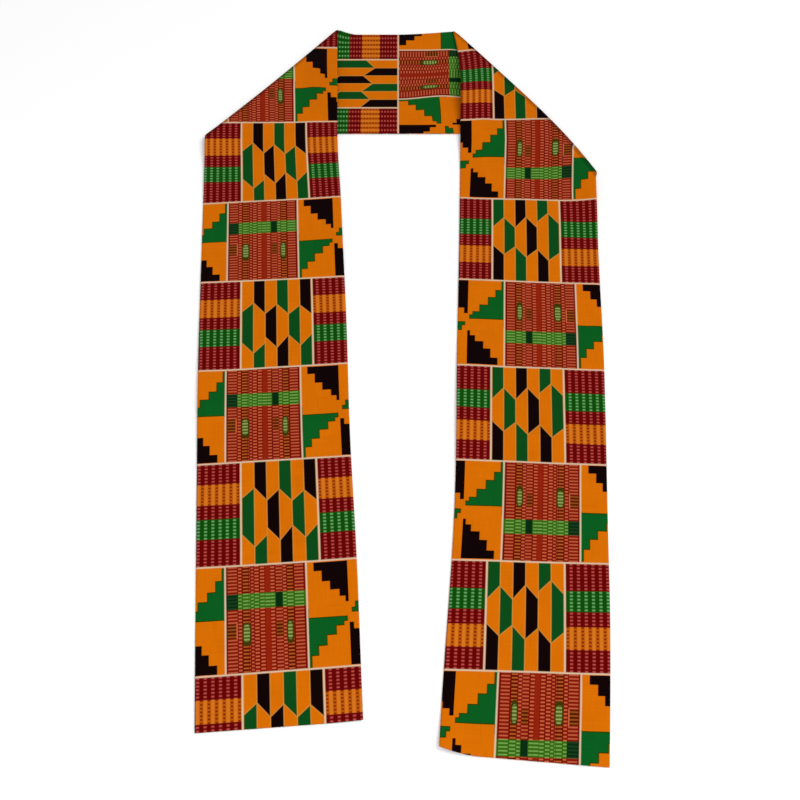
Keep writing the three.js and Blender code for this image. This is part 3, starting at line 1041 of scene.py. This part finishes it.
def print_material(name, chart):
    """Block-printed plain weave: the chart's colours, uneven ink, painted shade along the folds, thicker
    threads and a weave in relief.
    """
    material = bpy.data.materials.new(name)
    pen, shader = cotton_shader(material)
    uv = pen.node("ShaderNodeUVMap", uv_map=PRINT_MAP)
    split = pen.node("ShaderNodeSeparateXYZ")
    pen.feed(split.inputs[0], uv.outputs["UV"])
    across, row = split.outputs[0], split.outputs[1]
    place = (pen.times(across, STRIP_WIDTH), pen.times(row, ROW_HEIGHT))
    printed = pen.node("ShaderNodeGroup", node_tree=chart)
    pen.feed(printed.inputs["Across"], across)
    pen.feed(printed.inputs["Row"], row)

    warp_slubs = noise(pen, place, (SLUB_WIDTH, SLUB_LENGTH), detail=1.0, offset=3.0)
    weft_slubs = noise(pen, place, (SLUB_LENGTH, SLUB_WIDTH), detail=1.0, offset=7.0)
    slubs = pen.math("ADD", warp_slubs, weft_slubs)
    blotches = noise(pen, place, BLOTCH_SIZE, detail=3.0, offset=11.0)
    shade = pen.scaled(slubs, SLUB_SHADE, INK_LEVEL)
    shade = pen.scaled(blotches, BLOTCH_SHADE, pen.math("SUBTRACT", shade, BLOTCH_SHADE / 2))
    # Painted shade: the colour is darkened along the folds, where the turned cloth would lie in shade
    painted_fold_shade = pen.node("ShaderNodeAttribute", attribute_name=FOLD_SHADE_ATTRIBUTE).outputs["Fac"]
    shade = pen.times(shade, pen.scaled(painted_fold_shade, -FOLD_SHADE_DEPTH, 1.0))
    grey = pen.node("ShaderNodeCombineColor")
    for socket in grey.inputs:
        pen.feed(socket, shade)
    colour = pen.mix(1.0, printed.outputs["Colour"], grey.outputs[0], "MULTIPLY")
    pen.feed(shader.inputs["Base Color"], colour)
    pen.feed(shader.inputs["Roughness"], pen.scaled(slubs, -0.12, 0.94))

    warp, weft = [pen.math("SINE", pen.times(along, math.pi / THREAD_PITCH)) for along in place]
    crossings = pen.times(warp, weft, 0.5)
    relief = pen.node("ShaderNodeBump")
    set_inputs(relief, {"Strength": 0.3, "Distance": 0.12 * MM})
    pen.feed(relief.inputs["Height"], pen.scaled(slubs, 1.2, crossings))
    pen.feed(shader.inputs["Normal"], relief.outputs["Normal"])
    return material


def wrong_side_material():
    """The unprinted sides of the cloths, shut in between them."""
    material = bpy.data.materials.new("cotton_wrong_side")
    _, shader = cotton_shader(material)
    set_inputs(shader, {"Base Color": WRONG_SIDE, "Roughness": 0.9})
    return material


def make_cloths():
    """The front cloth in three pieces, cut where the folds hide the cuts, and the back cloth in one."""
    chart = kente_chart()
    wrong = wrong_side_material()
    front_look = [print_material("kente_front", chart), wrong]
    back_look = [print_material("kente_back", chart), wrong]
    fine = build_strip(FINE_STEP)
    coarse = build_strip(COARSE_STEP)
    runs = {
        "front_left_panel": (0, fine.starts["band"] - 1),
        "front_neck": (fine.starts["band"] - 1, fine.starts["right_fold"] - 1),
        "front_right_panel": (fine.starts["right_fold"] - 1, fine.rows - 1),
    }
    for name, (first, last) in runs.items():
        if name == "front_neck":
            islands = [island(first, last, NECK_SPOT)]
        else:
            islands = panel_islands(first, last, PANEL_HALF_SPOTS)
        inner = island(first, last, FRONT_INNER_SPOT)
        piece = cloth_piece(name, fine, first, last, 1, front_look, islands, inner)
        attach(piece, "root")
        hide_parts("front_cloth")
    last = coarse.rows - 1
    inner = island(0, last, BACK_INNER_SPOT)
    piece = cloth_piece("back_strip", coarse, 0, last, -1, back_look, back_islands(coarse), inner)
    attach(piece, "root")
    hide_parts("back_cloth")


def make_floor():
    mesh = bpy.data.meshes.new("floor")
    reach = 6.0
    corners = [(-reach, -reach, 0), (reach, -reach, 0), (reach, reach, 0), (-reach, reach, 0)]
    mesh.from_pydata(corners, [], [(0, 1, 2, 3)])
    floor = add_object("floor", mesh)
    paint = bpy.data.materials.new("floor_paint")
    paint.use_nodes = True
    shader = paint.node_tree.nodes["Principled BSDF"]
    white = (0.98, 0.98, 0.98, 1.0)
    set_inputs(shader, {"Base Color": white, "Roughness": 0.95, "Specular IOR Level": 0.1})
    mesh.materials.append(paint)


def make_lights():
    """An even bright room with a soft key from the right and a near lamp by the hems."""
    world = bpy.data.worlds.new("studio")
    bpy.context.scene.world = world
    world.use_nodes = True
    set_inputs(world.node_tree.nodes["Background"], {"Color": (1.0, 1.0, 1.0, 1.0), "Strength": 0.51})
    for name, place, size, power in (
        ("key", (4.2, 1.2, 6.0), 3.8, 235.0),
        ("near", (0.1, -1.0, 1.5), 1.2, 12.9),
    ):
        lamp = bpy.data.lights.new(name, "AREA")
        lamp.size = size
        lamp.energy = power
        made = add_object(name, lamp)
        made.location = place
        made.rotation_euler = (-made.location).to_track_quat("-Z", "Y").to_euler()
    bpy.context.scene.view_settings.view_transform = "Standard"


def make_camera():
    """The photo's camera: level, straight on, looking down at the middle of the stole."""
    elevation = math.radians(61.487)
    distance = 1.311208
    aim_x, aim_y = 0.00085, -0.0577
    lens = bpy.data.cameras.new("camera")
    lens.lens = 63.0
    lens.sensor_width = 36.0
    camera = add_object("camera", lens)
    camera.location = (aim_x, aim_y - distance * math.cos(elevation), distance * math.sin(elevation))
    camera.rotation_euler = (math.pi / 2 - elevation, 0, 0)
    bpy.context.scene.camera = camera


make_cloths()
make_floor()
make_lights()
make_camera()
